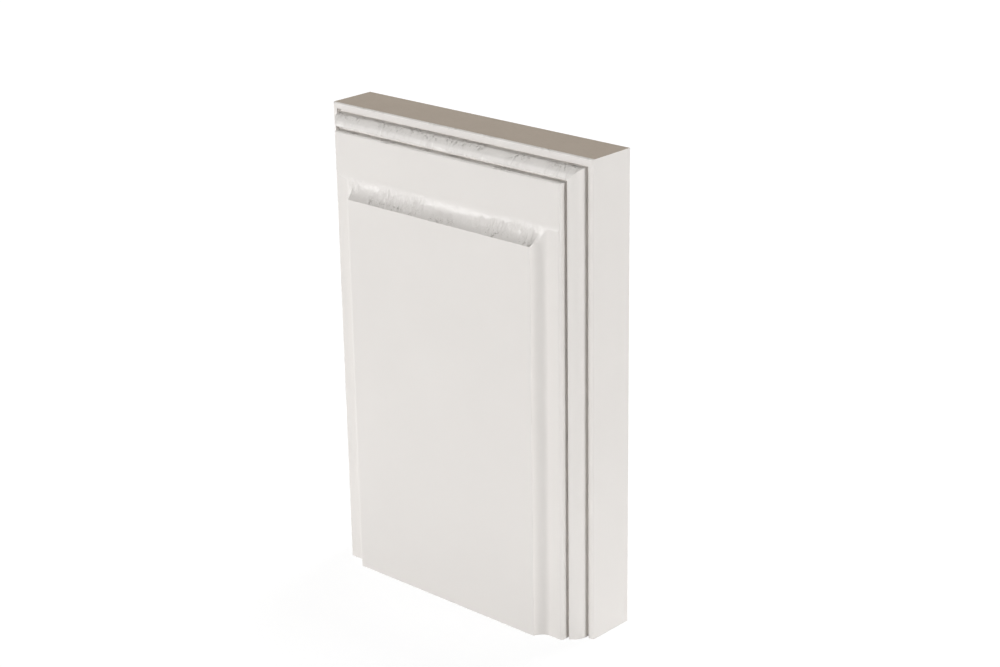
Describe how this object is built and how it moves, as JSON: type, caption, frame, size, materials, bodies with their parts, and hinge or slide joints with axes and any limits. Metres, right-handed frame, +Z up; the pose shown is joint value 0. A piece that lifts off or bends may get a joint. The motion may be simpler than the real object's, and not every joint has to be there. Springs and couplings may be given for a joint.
{
  "type": "plinth block",
  "caption": "Painted plinth block with a raised panel and a mitred moulded border, for the foot of a door casing",
  "frame": {"origin": "middle of the block's bottom, half way between its back and the front of the raised panel", "axes": "+Z up the block, +Y out of its flat back towards the wall, so the moulded face looks to -Y and +X is to the right as the face is seen"},
  "size_m": [0.12, 0.03, 0.172],
  "materials": {
    "painted_board": "satin"
  },
  "bodies": {
    "root": {"plinth_block": "painted_board"}
  },
  "joints": []
}
